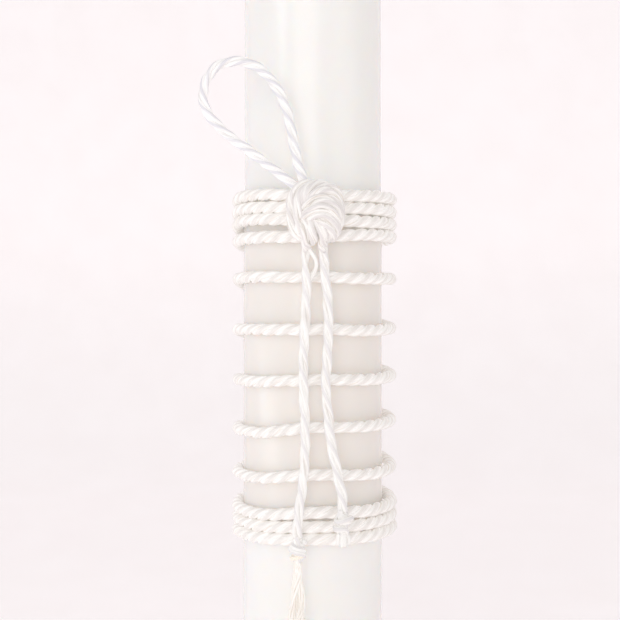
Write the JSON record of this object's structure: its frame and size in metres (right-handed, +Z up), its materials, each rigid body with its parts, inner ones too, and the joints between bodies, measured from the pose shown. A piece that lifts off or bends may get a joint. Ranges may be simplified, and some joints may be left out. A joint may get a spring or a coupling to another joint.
{
  "type": "unity candle",
  "caption": "Tall white wax pillar candle wound with a twisted satin cord, with a knotted bow of the cord in front, one loop and two hanging tails.",
  "frame": {"origin": "centre of the candle's foot, on the surface it stands on", "axes": "+Z up the candle; -Y is the front, where the bow is; +X to the right seen from the front"},
  "size_m": [0.0686, 0.0732, 0.314],
  "materials": {
    "wax": "smooth pearl-white candle wax, slightly translucent, with a soft gloss and faint clouding",
    "wick_cotton": "braided cotton wick, primed with wax",
    "sustainer_metal": "thin tinned steel",
    "satin_cord": "three-ply twisted satin cord in white rayon, silky sheen along the fibres",
    "binding": "tan heat-sealed ring, slightly glossy",
    "tassel_strand": "untwisted silky strands, creamy white and a little see-through"
  },
  "bodies": {
    "pillar": {"candle_body": "wax", "wick": "wick_cotton", "wick_sustainer": "sustainer_metal", "wrap_top_band": "satin_cord", "wrap_open_turns": "satin_cord", "wrap_bottom_band": "satin_cord", "bow_knot": "satin_cord"},
    "loop": {"bow_loop": "satin_cord"},
    "left_tail_body": {"left_tail": "satin_cord", "left_tail_end": "satin_cord", "binding_ring": "binding"},
    "right_tail_body": {"right_tail": "satin_cord", "right_tail_knot": "satin_cord", "right_tail_fray": "satin_cord"},
    "tassel": {"tassel_root": "tassel_strand", "tassel_ply_1": "tassel_strand", "tassel_ply_2": "tassel_strand", "tassel_ply_3": "tassel_strand"}
  },
  "joints": [
    {"name": "loop_lean", "type": "hinge", "parent": "pillar", "child": "loop", "pos_m": [-0.00543, -0.035, 0.21244], "axis": [0, 1, 0], "range_deg": [-35, 25]},
    {"name": "left_tail_swing", "type": "hinge", "parent": "pillar", "child": "left_tail_body", "pos_m": [-0.0021, -0.0326, 0.1894], "axis": [-1, 0, 0], "range_deg": [0, 80]},
    {"name": "right_tail_swing", "type": "hinge", "parent": "pillar", "child": "right_tail_body", "pos_m": [0.0032, -0.0326, 0.1894], "axis": [-1, 0, 0], "range_deg": [0, 80]},
    {"name": "tassel_swing", "type": "hinge", "parent": "left_tail_body", "child": "tassel", "pos_m": [-0.0051, -0.0322, 0.08433], "axis": [0, 1, 0], "range_deg": [-30, 30]}
  ]
}
